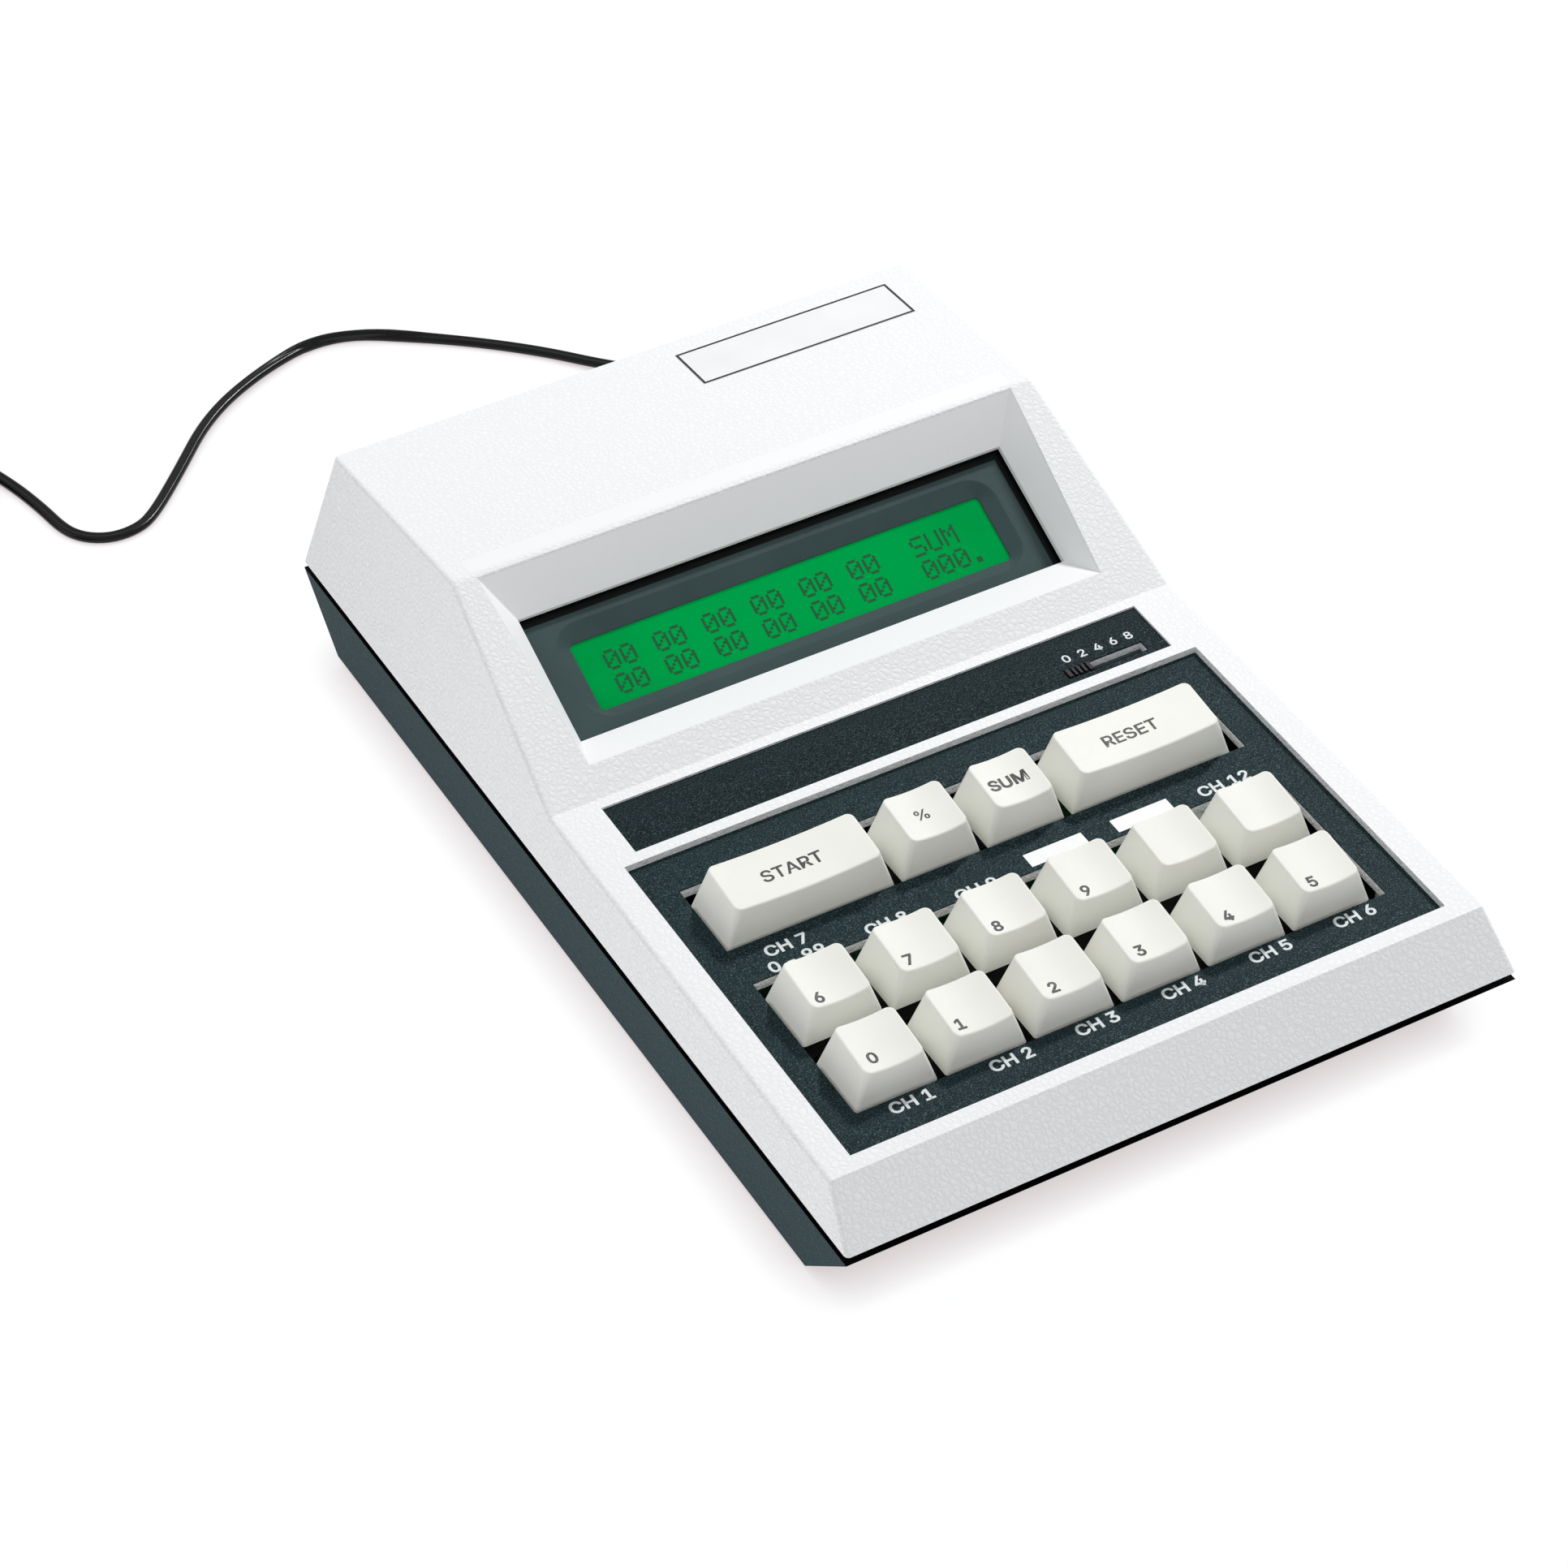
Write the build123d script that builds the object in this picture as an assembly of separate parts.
"""Bench-top differential cell counter: a two-shell wedge case with a key field, a tilted display and a flex.

Millimetres, +Z up, front towards -Y. The origin is on the table under the middle of the case.
Sloping faces are modelled in their own planes: x to the right, y up the slope, z out of the face.
"""
import os
from math import atan2, cos, degrees, hypot, pi, radians, sin, tan

from build123d import *

os.makedirs("parts", exist_ok=True)

# Key field: the case grows out of it, so its pitch and borders set the width and the deck's length
key_pitch = 19.05
field_units = 6
opening_side_gap = 0.95
overlay_border_side, overlay_border_front, overlay_border_back = 6.7, 9.5, 9.5
deck_border_side, deck_border_front, deck_border_back = 8.3, 3.6, 2.5
top_row_step = 2.5
top_opening_trim = 0.35
key_field_shift = 1.3
deck_bar = 2.7
strip_depth, strip_inset = 14.0, 3.9

# Case, seen from the side: front wedge, key deck, display slope, roof and back wall
side_draft = 10.6
front_run, front_rise = 9.4, 10.4
deck_tilt = 0.7
slope_tilt, slope_border = 25.3, 0.9
roof_length, roof_fall = 52.5, 4.5
back_run = 7.8
wall = 2.5
edge_round = 1.0
ridge_round = 4.0

# Base tray, seam and feet
base_depth = 17.7
base_front_run = 17.7
base_back_run = 10.1
base_side_run = 1.6
seam_gap = 1.9
foot_stand = 1.6
foot_sunk = 0.8
foot_radius = 6.0
foot_round = 0.6
foot_inset_side, foot_inset_front, foot_inset_back = 17.1, 38.0, 36.0

# Tongue of the base that closes the seam from inside
tongue_wall = 1.8
tongue_rise = 2.3
tongue_sink = 5.5
tongue_side_inset = 3.2
tongue_front_inset = 4.6
tongue_back_inset = 3.3

# Corner columns and screws
column_radius = 4.0
column_inset_side, column_inset_front, column_inset_back = 9.6, 26.0, 24.0
screw_radius, screw_head_radius, screw_head_height = 1.5, 2.8, 1.8
screw_length, screw_bottom_gap = 13.5, 0.5
screw_clearance = 0.05
counterbore_radius, counterbore_depth = 3.4, 9.0

# Key tray: sunk overlay plate with one opening for the top row and one for the two lower rows
overlay_thickness = 0.3
key_recess = 1.5
tray_floor = 2.0

# Keycaps: sculptured, hollow, dished along a cylinder
cap_gap = 1.65
cap_skirt_below_plate = 1.0
cap_top_inset = 2.5
cap_front_inset, cap_back_inset = 0.8, 4.5
cap_skirt_back_inset = 2.8
cap_front_height, cap_back_height = 8.2, 9.5
top_row_extra = 0.6
cap_corner_low, cap_corner_top = 0.6, 1.6
cap_corner_inside = 0.3
cap_wall = 1.3
cap_ceiling = 1.7
cap_dish = 0.7
cap_rim_round = 0.4

# Key switches under the caps
key_travel = 4.0
press_reserve, bottom_reserve = 0.7, 0.6
stem_radius = 2.9
stem_start = 0.6
cross_long, cross_wide, cross_depth = 4.1, 1.3, 3.8
cross_clearance, cross_tip_gap = 0.05, 0.1
plunger_side = 6.6
plunger_clearance = 0.2
plunger_flange, plunger_flange_height = 9.2, 1.2
flange_rest_gap = 0.02
switch_side = 15.6
switch_cover, switch_floor = 1.2, 1.0
board_thickness = 1.6
key_board_margin_side, key_board_margin_front, key_board_margin_back = 0.5, 1.9, 1.5
board_post_radius, board_post_units = 2.5, 2.1
board_post_margin = 1.3

# Contrast strip with its slide control
strip_recess, strip_overlay = 0.5, 0.4
slot_length, slot_width = 18.5, 2.8
slot_inset_end, slot_inset_front = 4.4, 3.2
knob_length, knob_side_gap, knob_end_gap = 5.6, 0.3, 0.3
knob_top_below, knob_foot_gap = 0.2, 0.2
knob_ribs, knob_rib_depth = 4, 0.5
lever_thickness, lever_length, lever_reach = 0.9, 3.0, 2.6
slider_wall, slider_width, slider_height = 3.8, 6.2, 6.5
slit_width, slit_end_wall, slit_reserve = 1.4, 0.6, 0.6

# Display window: a flared well in the slope with the bezel at its bottom
well_depth = 6.0
well_border_side, well_border_front = 17.4, 7.2
well_floor_depth = 28.6
well_flare_front, well_flare_back = 7.4, 9.0
well_flare_side_low, well_flare_side_high = 2.9, 5.8
well_wall = 2.0
well_lip = 1.2
bezel_gap, bezel_thickness, bezel_margin = 0.9, 1.5, 0.8
ring_margin_side, ring_margin_front, ring_margin_back = 5.1, 3.2, 3.5
ring_corner = 6.0
lcd_depth = 10.0
view_margin_side, view_margin_front, view_margin_back = 3.2, 2.6, 3.9
lcd_view_corner, lcd_view_step = 1.0, 0.4
glass_margin_side, glass_margin_ends, glass_thickness = 4.6, 3.1, 1.1
backlight_thickness = 4.0
lcd_board_margin_side, lcd_board_margin_front, lcd_board_margin_back = 8.5, 6.8, 8.4
lcd_post_radius, lcd_post_inset = 1.9, 2.05

# Main board on the floor of the base
main_board_inset_side, main_board_depth, main_board_inset_back = 21.1, 62.0, 30.0
main_board_rise = 4.0
standoff_radius, standoff_inset = 3.0, 6.0
chip_length, chip_width, chip_height = 50.0, 14.0, 4.0
chip_dimple_radius, chip_dimple_depth = 1.5, 0.6
sounder_radius, sounder_height = 6.5, 8.0
sounder_hole_radius, sounder_hole_depth = 1.0, 1.0

# Power socket in a pocket of the back wall, and the plug in it
socket_inset, socket_height = 37.1, 11.0
pocket_half_width, pocket_half_height, pocket_inset = 8.0, 5.6, 9.0
pocket_wall = 2.0
socket_width, socket_tall, socket_depth = 9.0, 9.6, 12.0
socket_nose_radius, socket_nose_gap = 4.0, 0.1
barrel_radius, barrel_clearance, barrel_length = 2.75, 0.05, 9.5
barrel_tip_gap = 0.5
plug_radius, plug_length = 4.5, 16.0
plug_groove, plug_groove_start, plug_shoulder = 0.5, 5.6, 1.5
relief_start_radius, relief_length = 3.0, 14.0

# Flex, coil of the stretch that is put away, and the wall adapter on its end
cord_diameter = 2.8
relief_wall = 0.5
coil_x, coil_y = -137.0, 202.0
coil_turns_across, coil_turns_high = 4, 4
coil_mid_diameters = 11.0
adapter_x, adapter_end_y = -171.0, 165.0
adapter_depth, adapter_length, adapter_height = 34.0, 56.0, 42.0
adapter_round = 3.0
adapter_cord_height, adapter_relief = 9.0, 12.0
blade_length, blade_width, blade_thickness, blade_spacing = 16.0, 6.3, 1.5, 12.7
blade_hole_radius, blade_hole_inset, blade_setback = 1.6, 3.5, 33.6

# Deck layout, in the deck's plane: half widths, and distances back from the front top edge
opening_half = field_units * key_pitch / 2 + opening_side_gap
key_recess_half = opening_half + overlay_border_side
half_width = key_recess_half + deck_border_side
key_recess_start = deck_border_front
lower_opening_start = key_recess_start + overlay_border_front
lower_opening_depth = 2 * key_pitch
upper_opening_depth = key_pitch - top_opening_trim
upper_opening_start = lower_opening_start + (top_row_step + 0.5) * key_pitch - upper_opening_depth / 2
key_recess_end = upper_opening_start + upper_opening_depth + overlay_border_back
strip_half = key_recess_half - strip_inset
strip_start = key_recess_end + deck_bar
strip_end = strip_start + strip_depth
slot_end = strip_half - slot_inset_end
slot_start = slot_end - slot_length
slot_row = strip_start + slot_inset_front
deck_length = strip_end + deck_border_back

# Display layout, in the slope's plane: half widths, and distances up from its lower edge
well_floor_half = half_width - well_border_side
well_floor_start = well_border_front + well_flare_front
well_floor_end = well_floor_start + well_floor_depth
slope_length = well_floor_end + well_flare_back + slope_border
ring_half = well_floor_half - ring_margin_side
ring_start, ring_end = well_floor_start + ring_margin_front, well_floor_end - ring_margin_back
lcd_view_half = ring_half - view_margin_side
lcd_view_start, lcd_view_end = ring_start + view_margin_front, ring_end - view_margin_back
glass_half = lcd_view_half + glass_margin_side
glass_start, glass_end = lcd_view_start - glass_margin_ends, lcd_view_end + glass_margin_ends
lcd_board_half = glass_half + lcd_board_margin_side
lcd_board_start, lcd_board_end = glass_start - lcd_board_margin_front, glass_end + lcd_board_margin_back

# Heights and places that follow from the sizes above
bottom_z = foot_stand
rim_z = bottom_z + base_depth
seam_z = rim_z + seam_gap
deck_run, deck_rise = deck_length * cos(radians(deck_tilt)), deck_length * sin(radians(deck_tilt))
slope_run, slope_rise = slope_length * cos(radians(slope_tilt)), slope_length * sin(radians(slope_tilt))
roof_run, roof_drop = roof_length * cos(radians(roof_fall)), roof_length * sin(radians(roof_fall))
case_length = front_run + deck_run + slope_run + roof_run + back_run
front_y, back_y = -case_length / 2, case_length / 2
deck_point = (front_y + front_run, seam_z + front_rise)
slope_point = (deck_point[0] + deck_run, deck_point[1] + deck_rise)
ridge_point = (slope_point[0] + slope_run, slope_point[1] + slope_rise)
roof_point = (ridge_point[0] + roof_run, ridge_point[1] - roof_drop)
top_z = ridge_point[1]


def face_plane(point, tilt):
    """The plane of a face that rises to the back by its tilt, from its front edge at (y, z)."""
    return Plane(origin=(0, *point), x_dir=(1, 0, 0), z_dir=(0, -sin(radians(tilt)), cos(radians(tilt))))


deck = face_plane(deck_point, deck_tilt)
slope = face_plane(slope_point, slope_tilt)
plate_level = -key_recess
tray_bottom = -(key_recess + overlay_thickness + tray_floor)
skirt_level = plate_level - cap_skirt_below_plate
switch_top_below_skirt = key_travel + press_reserve
switch_height = switch_cover + plunger_flange_height + key_travel + bottom_reserve + switch_floor
key_board_top = skirt_level - switch_top_below_skirt - switch_height
floor_z = bottom_z + wall
main_board_half = half_width - main_board_inset_side
main_board_back = back_y - main_board_inset_back
bezel_top = -(well_depth + well_lip + bezel_gap)
glass_bottom = -(lcd_depth + glass_thickness)
lcd_board_top = glass_bottom - backlight_thickness
socket_x = half_width - socket_inset
pocket_y = back_y - pocket_inset
cord_radius = cord_diameter / 2


def block(x0, x1, y0, y1, z0, z1):
    """A box between two corners."""
    return Pos((x0 + x1) / 2, (y0 + y1) / 2, (z0 + z1) / 2) * Box(x1 - x0, y1 - y0, z1 - z0)


def post(x, y, z0, z1, radius):
    """An upright cylinder between two heights."""
    return Pos(x, y, (z0 + z1) / 2) * Cylinder(radius, z1 - z0)


def side_prism(points, inset=0.0, rounds=()):
    """The side profile (y, z), moved inwards by inset, as a bar that runs across the whole width."""
    face = make_face(Polyline(*points, close=True))
    for point, radius in rounds:
        face = fillet(face.vertices().sort_by_distance((*point, 0))[0], radius)
    if inset:
        face = offset(face, -inset, kind=Kind.INTERSECTION)
    return extrude(Plane.YZ * face, amount=2 * half_width, both=True)


def drafted_bar(z0, half0, z1, half1, inset=0.0):
    """A bar along the case whose sides lean from half0 at z0 to half1 at z1."""
    lean = hypot(z1 - z0, half1 - half0) / (z1 - z0)
    half0, half1 = half0 - inset * lean, half1 - inset * lean
    face = make_face(Polyline((-half0, z0), (half0, z0), (half1, z1), (-half1, z1), close=True))
    return extrude(Plane.XZ * face, amount=case_length, both=True)


def upper_profile(drop=0.0):
    """The upper shell's side outline; drop carries its front and back walls on below the seam."""
    front = (front_y - front_run * drop / front_rise, seam_z - drop)
    back_fall = roof_point[1] - seam_z
    back = (back_y + back_run * drop / back_fall, seam_z - drop)
    return [front, deck_point, slope_point, ridge_point, roof_point, back]


def upper_form(inset=0.0, drop=0.0):
    """The upper shell's outer form, or its cavity where inset is the wall."""
    lean = tan(radians(side_draft))
    z1 = top_z + 10
    low_z = seam_z - drop
    rounds = () if inset else [(ridge_point, ridge_round)]
    bar = drafted_bar(low_z, half_width + drop * lean, z1, half_width - (z1 - seam_z) * lean, inset)
    return side_prism(upper_profile(drop), inset, rounds) & bar


def lower_profile(lift=0.0):
    """The base's side outline; lift carries its front and back walls on above the rim."""
    front_lift = base_front_run * lift / base_depth
    back_lift = base_back_run * lift / base_depth
    return [
        (front_y - front_lift, rim_z + lift),
        (front_y + base_front_run, bottom_z),
        (back_y - base_back_run, bottom_z),
        (back_y + back_lift, rim_z + lift),
    ]


def lower_form(inset=0.0, lift=0.0):
    """The base's outer form, or its cavity where inset is the wall."""
    side_lift = base_side_run * lift / base_depth
    bar = drafted_bar(bottom_z, half_width - base_side_run, rim_z + lift, half_width + side_lift, inset)
    return side_prism(lower_profile(lift), inset) & bar


def column_places():
    """The four corners where a screw ties base and upper shell."""
    x = half_width - column_inset_side
    ys = (front_y + column_inset_front, back_y - column_inset_back)
    return [(side * x, y) for y in ys for side in (-1, 1)]


def foot_places():
    """The four feet by name."""
    x = half_width - foot_inset_side
    front, back = front_y + foot_inset_front, back_y - foot_inset_back
    return {
        "foot_front_left": (-x, front),
        "foot_front_right": (x, front),
        "foot_back_left": (-x, back),
        "foot_back_right": (x, back),
    }


def well_section(level):
    """The display well's outline in the slope's plane at one level, flared on towards the mouth."""
    t = (level + well_depth) / well_depth
    low_half = well_floor_half + well_flare_side_low * t
    high_half = well_floor_half + well_flare_side_high * t
    start = well_floor_start - well_flare_front * t
    end = well_floor_end + well_flare_back * t
    points = [(-low_half, start), (low_half, start), (high_half, end), (-high_half, end)]
    return make_face(Polyline(*points, close=True))


def well(grow=0.0):
    """The flared well, grown by a wall where it is the solid round it."""
    levels = (-well_depth, wall)
    faces = [well_section(z) for z in levels]
    if grow:
        faces = [offset(f, grow, kind=Kind.INTERSECTION) for f in faces]
    return loft([Pos(0, 0, z) * f for z, f in zip(levels, faces)], ruled=True)


def well_floor_block(z0, z1, margin=0.0):
    """The well's floor opening as a block between two levels."""
    half = well_floor_half + margin
    return block(-half, half, well_floor_start - margin, well_floor_end + margin, z0, z1)


def key_openings(z0, z1):
    """The two openings that the keys stand in."""
    lower = block(-opening_half, opening_half, lower_opening_start,
                  lower_opening_start + lower_opening_depth, z0, z1)
    upper = block(-opening_half, opening_half, upper_opening_start,
                  upper_opening_start + upper_opening_depth, z0, z1)
    return lower + upper


def control_slot(z0, z1):
    """The slot that the contrast knob slides in."""
    low, high = slot_row - slot_width / 2, slot_row + slot_width / 2
    return block(slot_start, slot_end, low, high, z0, z1)


def board_post_places():
    """Posts of the key board: in front of the keys, between the two openings and behind the keys."""
    between = (lower_opening_start + lower_opening_depth + upper_opening_start) / 2
    reach = board_post_radius + board_post_margin
    front = key_recess_start + key_board_margin_front + reach
    back = key_recess_end - key_board_margin_back - reach
    x = board_post_units * key_pitch
    return [(side * x, y) for y in (front, between, back) for side in (-1, 1)]


def lcd_post_places():
    """The four posts that carry the display board."""
    x = lcd_board_half - lcd_post_inset
    ys = (lcd_board_start + lcd_post_inset, lcd_board_end - lcd_post_inset)
    return [(side * x, y) for y in ys for side in (-1, 1)]


def rounded_upper_form():
    """The upper form with its outer edges broken, all but those at the seam."""
    form = upper_form()
    edges = form.edges().filter_by(lambda e: e.center().Z > seam_z + 1)
    ridge = edges.filter_by(lambda e: abs(e.center().X) < 1)
    return fillet([e for e in edges if e not in ridge], edge_round)


def upper_shell():
    """White upper shell with the key tray, the display well, posts and corner columns."""
    outer = rounded_upper_form()
    shell = outer - upper_form(inset=wall, drop=6)
    tray = deck * block(-key_recess_half - wall, key_recess_half + wall, key_recess_start - wall,
                        key_recess_end + wall, tray_bottom, -wall / 2)
    lip = well_floor_block(-well_depth - well_lip, -well_depth, well_wall)
    inside = tray + slope * well(well_wall) + slope * lip
    for x, y in board_post_places():
        inside += deck * post(x, y, key_board_top, tray_bottom + 0.5, board_post_radius)
    for x, y in lcd_post_places():
        inside += slope * post(x, y, lcd_board_top, -wall, lcd_post_radius)
    for x, y in column_places():
        inside += post(x, y, rim_z, top_z, column_radius)
    below = lower_form(inset=wall, lift=seam_gap + 2 * wall)
    shell = shell + (inside & (outer + below))
    shell -= deck * block(-key_recess_half, key_recess_half, key_recess_start, key_recess_end,
                          -key_recess - overlay_thickness, 5)
    shell -= deck * block(-strip_half, strip_half, strip_start, strip_end, -strip_recess - strip_overlay, 5)
    shell -= deck * key_openings(tray_bottom - 1, 1)
    shell -= deck * control_slot(-wall - 1, 1)
    shell -= slope * well()
    shell -= slope * well_floor_block(-well_depth - well_lip - 1, -well_depth + 0.1)
    for x, y in column_places():
        shell -= post(x, y, rim_z, bottom_z + counterbore_depth + screw_length + screw_bottom_gap,
                      screw_radius + screw_clearance)
    return shell


def pocket(grow=0.0):
    """The socket pocket in the back wall, or the box that walls it in."""
    half_w, half_h = pocket_half_width + grow, pocket_half_height + grow
    return block(socket_x - half_w, socket_x + half_w, pocket_y - grow, back_y + 5,
                 socket_height - half_h, socket_height + half_h)


def lower_shell():
    """Dark base tray with its tongue, columns, standoffs and socket pocket."""
    outer = lower_form()
    shell = outer - lower_form(inset=wall, lift=8)
    inner_x = half_width - tongue_side_inset - tongue_wall
    inner_front = front_y + tongue_front_inset + tongue_wall
    inner_back = back_y - tongue_back_inset - tongue_wall
    hollow = block(-inner_x, inner_x, inner_front, inner_back,
                   rim_z - tongue_sink - 1, rim_z + tongue_rise + 1)
    band = (outer & block(-half_width, half_width, front_y, back_y, rim_z - tongue_sink, rim_z)) - hollow
    tongue = block(-inner_x - tongue_wall, inner_x + tongue_wall, inner_front - tongue_wall,
                   inner_back + tongue_wall, rim_z - 1, rim_z + tongue_rise) - hollow
    shell += band + tongue
    shell += pocket(pocket_wall) & outer
    for x, y in column_places():
        shell += post(x, y, bottom_z, rim_z, column_radius) & outer
    for x, y in standoff_places():
        shell += post(x, y, bottom_z + 1, floor_z + main_board_rise, standoff_radius)
    shell -= pocket()
    nose_hole = Cylinder(socket_nose_radius, 3 * pocket_wall)
    shell -= Pos(socket_x, pocket_y, socket_height) * Rot(X=90) * nose_hole
    for x, y in column_places():
        shell -= post(x, y, bottom_z - 1, rim_z + 1, screw_radius + screw_clearance)
        shell -= post(x, y, bottom_z - 1, bottom_z + counterbore_depth, counterbore_radius)
    for x, y in foot_places().values():
        shell -= post(x, y, bottom_z - 1, bottom_z + foot_sunk, foot_radius)
    return shell


def foot(x, y):
    """A round rubber foot with a softened lower edge, sunk in the base."""
    pad = post(x, y, 0, foot_stand + foot_sunk, foot_radius)
    return fillet(pad.edges().group_by(Axis.Z)[0], foot_round)


def case_screws():
    """The four screws from below, one solid each."""
    screws = []
    for x, y in column_places():
        seat = bottom_z + counterbore_depth
        head = post(x, y, seat - screw_head_height, seat, screw_head_radius)
        shank = post(x, y, seat, seat + screw_length, screw_radius)
        screws.append(head + shank)
    return Compound(screws)


def key_overlay():
    """The dark plate sunk in the key deck."""
    level = -key_recess - overlay_thickness
    plate = block(-key_recess_half, key_recess_half, key_recess_start, key_recess_end, level, plate_level)
    return deck * (plate - key_openings(level - 1, 1))


def contrast_overlay():
    """The dark strip behind the keys with the control's slot."""
    level = -strip_recess - strip_overlay
    plate = block(-strip_half, strip_half, strip_start, strip_end, level, -strip_recess)
    return deck * (plate - control_slot(level - 1, 1))


def keys():
    """Every key as name, centre in the deck plane, width in units and extra height."""
    left = -key_field_shift - field_units * key_pitch / 2
    rows = [
        (0.0, 0.0, [("0", 1), ("1", 1), ("2", 1), ("3", 1), ("4", 1), ("5", 1)]),
        (1.0, 0.0, [("6", 1), ("7", 1), ("8", 1), ("9", 1), ("spare_left", 1), ("spare_right", 1)]),
        (top_row_step, top_row_extra, [("count", 2), ("percent", 1), ("total", 1), ("clear", 2)]),
    ]
    placed = []
    for step, extra, row in rows:
        x = left
        y = lower_opening_start + (step + 0.5) * key_pitch
        for name, units in row:
            placed.append((name, x + units * key_pitch / 2, y, units, extra))
            x += units * key_pitch
    return placed


def rounded_rect(half_x, y0, y1, radius):
    """A rounded rectangle between y0 and y1, centred in x."""
    return Pos(0, (y0 + y1) / 2) * RectangleRounded(2 * half_x, y1 - y0, radius)


def keycap(units, extra):
    """A moulded cap: leaning sides, a top that falls to the front and is dished, a hollow and a stem."""
    low = (key_pitch - cap_gap) / 2
    wide = low + (units - 1) * key_pitch / 2
    front, back = cap_front_height + extra, cap_back_height + extra
    y0, y1 = -low + cap_front_inset, low - cap_back_inset
    tilt = degrees(atan2(back - front, y1 - y0))
    top_plane = Plane((0, y0, front)).rotated((tilt, 0, 0))
    depth = hypot(y1 - y0, back - front)
    skirt_back = low - cap_skirt_back_inset
    base = rounded_rect(wide, -low, skirt_back, cap_corner_low)
    top_half = wide - cap_top_inset
    top = top_plane * (Pos(0, depth / 2) * RectangleRounded(2 * top_half, depth, cap_corner_top))
    cap = loft([base, top], ruled=True)
    dish_radius = (top_half**2 + cap_dish**2) / (2 * cap_dish)
    rod = Pos(0, depth / 2, dish_radius - cap_dish) * Rot(X=90) * Cylinder(dish_radius, 3 * depth)
    cap -= top_plane * rod
    rim = cap.faces().sort_by(Axis.Z)[-1].outer_wire().edges()
    cap = fillet(rim, cap_rim_round)
    ceiling = front - cap_ceiling
    share = ceiling / front
    room_half = wide - cap_top_inset * share - cap_wall
    room_front = -low + cap_front_inset * share + cap_wall
    room_back = skirt_back + (y1 - skirt_back) * share - cap_wall
    room = loft([
        rounded_rect(wide - cap_wall, -low + cap_wall, skirt_back - cap_wall, cap_corner_inside),
        Pos(0, 0, ceiling) * rounded_rect(room_half, room_front, room_back, cap_corner_inside),
    ], ruled=True)
    cap -= room
    cap += post(0, 0, stem_start, ceiling + 0.2, stem_radius)
    cap -= cross(stem_start - 1, stem_start + cross_depth)
    return cap


def cross(z0, z1, clearance=0.0):
    """The cross that joins plunger and cap."""
    long, wide = cross_long / 2 - clearance, cross_wide / 2 - clearance
    return block(-long, long, -wide, wide, z0, z1) + block(-wide, wide, -long, long, z0, z1)


def plunger():
    """The sliding stem: a cross, a square shaft and the flange that holds it in the housing."""
    half, flange = plunger_side / 2, plunger_flange / 2
    flange_top = -switch_top_below_skirt - switch_cover - flange_rest_gap
    shaft = block(-half, half, -half, half, flange_top - plunger_flange_height, stem_start)
    foot_plate = block(-flange, flange, -flange, flange, flange_top - plunger_flange_height, flange_top)
    tip = cross(stem_start - 1, stem_start + cross_depth - cross_tip_gap, cross_clearance)
    return shaft + foot_plate + tip


def switch_housing():
    """A square housing, open at the top for the plunger and hollow for its travel."""
    half, hole = switch_side / 2, plunger_side / 2 + plunger_clearance
    room = plunger_flange / 2 + plunger_clearance
    top = -switch_top_below_skirt
    body = block(-half, half, -half, half, top - switch_height, top)
    body -= block(-hole, hole, -hole, hole, top - switch_cover - 1, top + 1)
    body -= block(-room, room, -room, room, top - switch_height + switch_floor, top - switch_cover)
    return body


def seat_on_deck(shape, x, y):
    """Moves a key piece from its own frame to its place in the deck."""
    return deck * Pos(x, y, skirt_level) * shape


def key_board():
    """The circuit board under the switches."""
    half = opening_half + key_board_margin_side
    start, end = key_recess_start + key_board_margin_front, key_recess_end - key_board_margin_back
    return deck * block(-half, half, start, end, key_board_top - board_thickness, key_board_top)


def contrast_knob():
    """The ribbed thumb piece with its lever through the slit."""
    x0 = slot_start + knob_end_gap
    half = slot_width / 2 - knob_side_gap
    low, high = slot_row - half, slot_row + half
    knob = block(x0, x0 + knob_length, low, high, -wall + knob_foot_gap, -knob_top_below)
    step = knob_length / (knob_ribs + 1)
    for i in range(knob_ribs):
        x = x0 + (i + 1) * step
        knob -= block(x - step / 4, x + step / 4, low - 1, high + 1, -knob_top_below - knob_rib_depth, 1)
    middle = x0 + knob_length / 2
    lever = block(middle - lever_length / 2, middle + lever_length / 2, slot_row - lever_thickness / 2,
                  slot_row + lever_thickness / 2, -wall - lever_reach, -wall + 2 * knob_foot_gap)
    return deck * (knob + lever)


def contrast_slider():
    """The slide potentiometer's body under the deck, with the slit that the lever runs in."""
    low, high = slot_row - slider_width / 2, slot_row + slider_width / 2
    body = block(slot_start - slider_wall, slot_end + slider_wall, low, high, -wall - slider_height, -wall)
    slit_low, slit_high = slot_row - slit_width / 2, slot_row + slit_width / 2
    return deck * (body - block(slot_start + slit_end_wall, slot_end - slit_end_wall, slit_low, slit_high,
                                -wall - lever_reach - slit_reserve, 1))


def display_bezel():
    """The dark plate in the window with the bevelled ring that falls to the glass."""
    bottom = bezel_top - bezel_thickness
    plate = well_floor_block(bottom, bezel_top, bezel_margin)
    skirt = block(-glass_half, glass_half, glass_start, glass_end, -lcd_depth, bottom)
    view = rounded_rect(lcd_view_half, lcd_view_start, lcd_view_end, lcd_view_corner)
    ring = loft([
        Pos(0, 0, bezel_top + 0.01) * rounded_rect(ring_half, ring_start, ring_end, ring_corner),
        Pos(0, 0, lcd_view_step - lcd_depth) * view,
    ], ruled=True)
    opening = extrude(Pos(0, 0, -lcd_depth - 1) * view, amount=2 * bezel_thickness)
    return slope * (plate + skirt - ring - opening)


def glass_block(z0, z1):
    """A layer of the display module as large as its glass."""
    return slope * block(-glass_half, glass_half, glass_start, glass_end, z0, z1)


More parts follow.
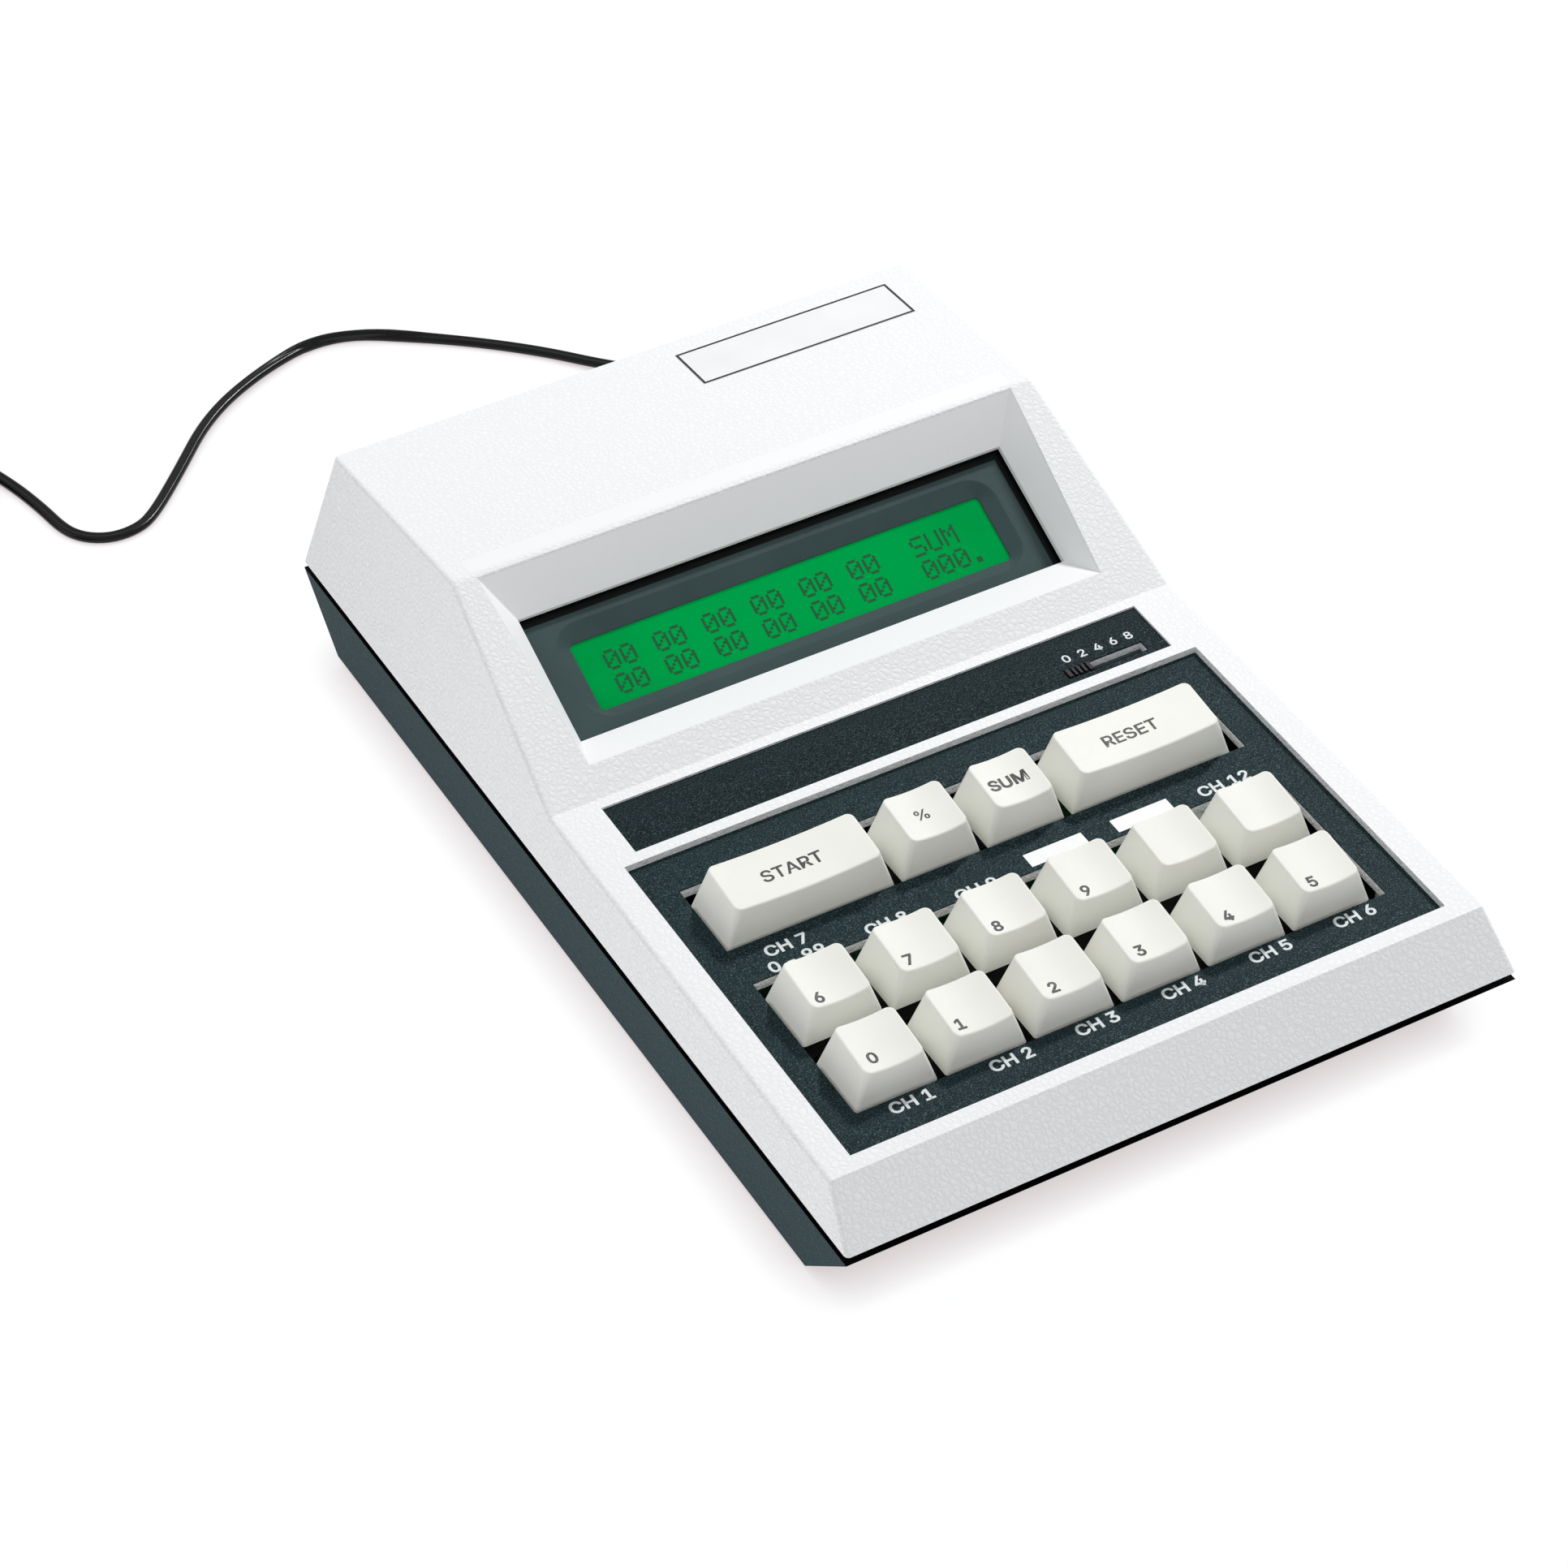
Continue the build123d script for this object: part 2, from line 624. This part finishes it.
def lcd_board():
    """The display module's circuit board."""
    return slope * block(-lcd_board_half, lcd_board_half, lcd_board_start, lcd_board_end,
                         lcd_board_top - board_thickness, lcd_board_top)


def main_board_box():
    """The main board's corners in x and y."""
    return -main_board_half, main_board_half, main_board_back - main_board_depth, main_board_back


def standoff_places():
    """The four standoffs of the main board."""
    x0, x1, y0, y1 = main_board_box()
    s = standoff_inset
    return [(x, y) for y in (y0 + s, y1 - s) for x in (x0 + s, x1 - s)]


def main_board_level():
    """The height of the main board's upper face."""
    return floor_z + main_board_rise + board_thickness


def main_board():
    """The board with the counting electronics."""
    top = main_board_level()
    return block(*main_board_box(), top - board_thickness, top)


def controller_chip():
    """The long dual-in-line package on the main board."""
    x0, x1, y0, y1 = main_board_box()
    z, middle = main_board_level(), (y0 + y1) / 2
    chip = block(-chip_length / 2, chip_length / 2, middle - chip_width / 2, middle + chip_width / 2,
                 z, z + chip_height)
    return chip - post(-chip_length / 2, middle, z + chip_height - chip_dimple_depth, z + chip_height + 1,
                       chip_dimple_radius)


def sounder():
    """The round sounder that marks each count."""
    x0, x1, y0, y1 = main_board_box()
    z = main_board_level()
    x, y = x0 + 3 * sounder_radius, y0 + 2 * sounder_radius
    top = z + sounder_height
    hole = post(x, y, top - sounder_hole_depth, top + 1, sounder_hole_radius)
    return post(x, y, z, top, sounder_radius) - hole


def along_back(profile, y):
    """Turns a profile of (radius, distance) points about the socket's axis, outwards from y."""
    face = make_face(Polyline(*profile, close=True))
    turned = revolve(face, Axis.Y, 360)
    return Pos(socket_x, y, socket_height) * turned


def power_socket():
    """The socket behind the pocket's wall, with its nose in the wall's hole and the barrel's bore."""
    back = pocket_y - pocket_wall
    body = block(socket_x - socket_width / 2, socket_x + socket_width / 2, back - socket_depth, back,
                 socket_height - socket_tall / 2, socket_height + socket_tall / 2)
    nose_radius = socket_nose_radius - socket_nose_gap
    nose = along_back([(0, 0), (nose_radius, 0), (nose_radius, pocket_wall), (0, pocket_wall)], back)
    bore, reach = barrel_radius + barrel_clearance, barrel_length + barrel_tip_gap
    hole = along_back([(0, 0), (bore, 0), (bore, reach + 1), (0, reach + 1)], pocket_y - reach)
    return body + nose - hole


def power_plug():
    """The moulded plug: barrel in the socket, grip with grooves and a tapered relief."""
    grip, neck, end = plug_radius, relief_start_radius, cord_radius + relief_wall
    groove = plug_groove
    outline = [(0, -barrel_length), (barrel_radius, -barrel_length), (barrel_radius, 0), (grip, 0)]
    for k in range(3):
        at = plug_groove_start + 5 * k * groove
        outline += [(grip, at), (grip - groove, at + groove)]
        outline += [(grip - groove, at + 2 * groove), (grip, at + 3 * groove)]
    outline += [(grip, plug_length - plug_shoulder), (neck, plug_length), (end, plug_length + relief_length),
                (0, plug_length + relief_length)]
    return along_back(outline, pocket_y)


def cord_start():
    """Where the flex leaves the plug's relief."""
    return (socket_x, pocket_y + plug_length + relief_length, socket_height)


# The flex as it lies on the table, from the plug to the coil, and from the coil to the adapter
lie = cord_radius
route_out = [
    cord_start(),
    (socket_x, 141.4, socket_height),
    (35.2, 149.2, 7.4),
    (31.5, 156.5, 3.0),
    (25.6, 164.0, lie),
    (13.5, 179.2, lie),
    (-4.5, 194.8, lie),
    (-25.5, 207.3, lie),
    (-44.0, 201.8, lie),
    (-61.0, 192.5, lie),
    (-76.0, 176.5, lie),
    (-86.5, 166.0, lie),
    (-91.6, 163.9, lie),
    (-97.1, 164.1, lie),
    (-101.8, 167.0, lie),
    (-104.6, 171.7, lie),
    (-106.0, 181.5, lie),
    (-108.5, 192.5, lie),
    (-113.5, 206.0, lie),
    (-122.0, 216.0, lie),
    (-132.5, 221.0, lie),
]
route_back = [
    (-150.9, 215.9, lie),
    (-161.5, 205.0, lie),
    (-169.0, 195.0, 4.0),
    (adapter_x, 186.5, adapter_cord_height),
    (adapter_x, adapter_end_y + adapter_relief, adapter_cord_height),
]


def bend_radii(points):
    """For each corner of a route, the largest arc that its two runs allow."""
    radii = []
    for a, b, c in zip(points, points[1:], points[2:]):
        before, after = Vector(*b) - Vector(*a), Vector(*c) - Vector(*b)
        turn = radians(before.get_angle(after))
        radii.append(0.45 * min(before.length, after.length) / tan(turn / 2))
    return radii


def tube(points):
    """The flex along one route: straight runs joined by tangent arcs."""
    radii = bend_radii(points)
    print("bend radii", [round(r, 1) for r in radii], "least", round(min(radii), 1))
    path = FilletPolyline(*points, radius=radii)
    section = Plane(origin=path @ 0, z_dir=path % 0) * Circle(cord_radius)
    solid = sweep(section, path=path)
    share = solid.volume / (pi * cord_radius**2 * path.length)
    print("length", round(path.length, 1), "volume share", round(share, 4))
    return solid


def coil_radii():
    """The coil's inner and outer radius and its height."""
    middle = coil_mid_diameters * cord_diameter / 2
    band = coil_turns_across * cord_diameter / 2
    return middle - band, middle + band, coil_turns_high * cord_diameter


def cord_coil():
    """The outer shape of the wound stretch."""
    inner, outer, height = coil_radii()
    ring = post(coil_x, coil_y, 0, height, outer) - post(coil_x, coil_y, -1, height + 1, inner)
    turns = coil_turns_across * coil_turns_high
    print("coil holds", round(turns * 2 * pi * (inner + outer) / 2), "mm")
    return ring


def power_cord():
    """The two stretches of flex that aren't coiled, cut off where they reach the coil."""
    inner, outer, height = coil_radii()
    drum = post(coil_x, coil_y, -1, height + 1, outer)
    pieces = []
    for route in (route_out, route_back):
        pieces.append(max((tube(route) - drum).solids(), key=lambda s: s.volume))
    return Compound(pieces)


def wall_adapter():
    """The adapter lying on its side, with the relief that the flex enters."""
    x0, x1 = adapter_x - adapter_depth / 2, adapter_x + adapter_depth / 2
    y0 = adapter_end_y - adapter_length
    body = fillet(block(x0, x1, y0, adapter_end_y, 0, adapter_height).edges(), adapter_round)
    tip_radius = cord_radius + relief_wall
    outline = [(0, 0), (relief_start_radius, 0), (tip_radius, adapter_relief), (0, adapter_relief)]
    profile = make_face(Polyline(*outline, close=True))
    relief = revolve(profile, Axis.Y, 360)
    return body + Pos(adapter_x, adapter_end_y, adapter_cord_height) * relief


def adapter_blades():
    """The two flat blades on the adapter's side."""
    x1 = adapter_x - adapter_depth / 2
    y = adapter_end_y - blade_setback
    blades = []
    for z in (adapter_height / 2 - blade_spacing / 2, adapter_height / 2 + blade_spacing / 2):
        blade = block(x1 - blade_length, x1, y - blade_width / 2, y + blade_width / 2,
                      z - blade_thickness / 2, z + blade_thickness / 2)
        hole = Cylinder(blade_hole_radius, 2 * blade_thickness)
        blades.append(blade - Pos(x1 - blade_length + blade_hole_inset, y, z) * hole)
    return Compound(blades)


def parts():
    """Every node by name."""
    made = {
        "upper_shell": upper_shell(),
        "lower_shell": lower_shell(),
        "case_screws": case_screws(),
        "key_overlay": key_overlay(),
        "contrast_overlay": contrast_overlay(),
        "contrast_knob": contrast_knob(),
        "contrast_slider": contrast_slider(),
        "display_bezel": display_bezel(),
        "lcd_glass": glass_block(glass_bottom, -lcd_depth),
        "lcd_backlight": glass_block(lcd_board_top, glass_bottom),
        "lcd_board": lcd_board(),
        "key_board": key_board(),
        "main_board": main_board(),
        "controller_chip": controller_chip(),
        "sounder": sounder(),
        "power_socket": power_socket(),
        "power_plug": power_plug(),
        "power_cord": power_cord(),
        "cord_coil": cord_coil(),
        "wall_adapter": wall_adapter(),
        "adapter_blades": adapter_blades(),
    }
    for name, (x, y) in foot_places().items():
        made[name] = foot(x, y)
    housing, stem = switch_housing(), plunger()
    caps = {}
    housings = []
    for name, x, y, units, extra in keys():
        if (units, extra) not in caps:
            caps[units, extra] = keycap(units, extra)
        made[f"keycap_{name}"] = seat_on_deck(caps[units, extra], x, y)
        made[f"plunger_{name}"] = seat_on_deck(stem, x, y)
        housings.append(seat_on_deck(housing, x, y))
    made["key_switches"] = Compound(housings)
    return made


for node, shape in parts().items():
    export_step(shape, f"parts/{node}.step")
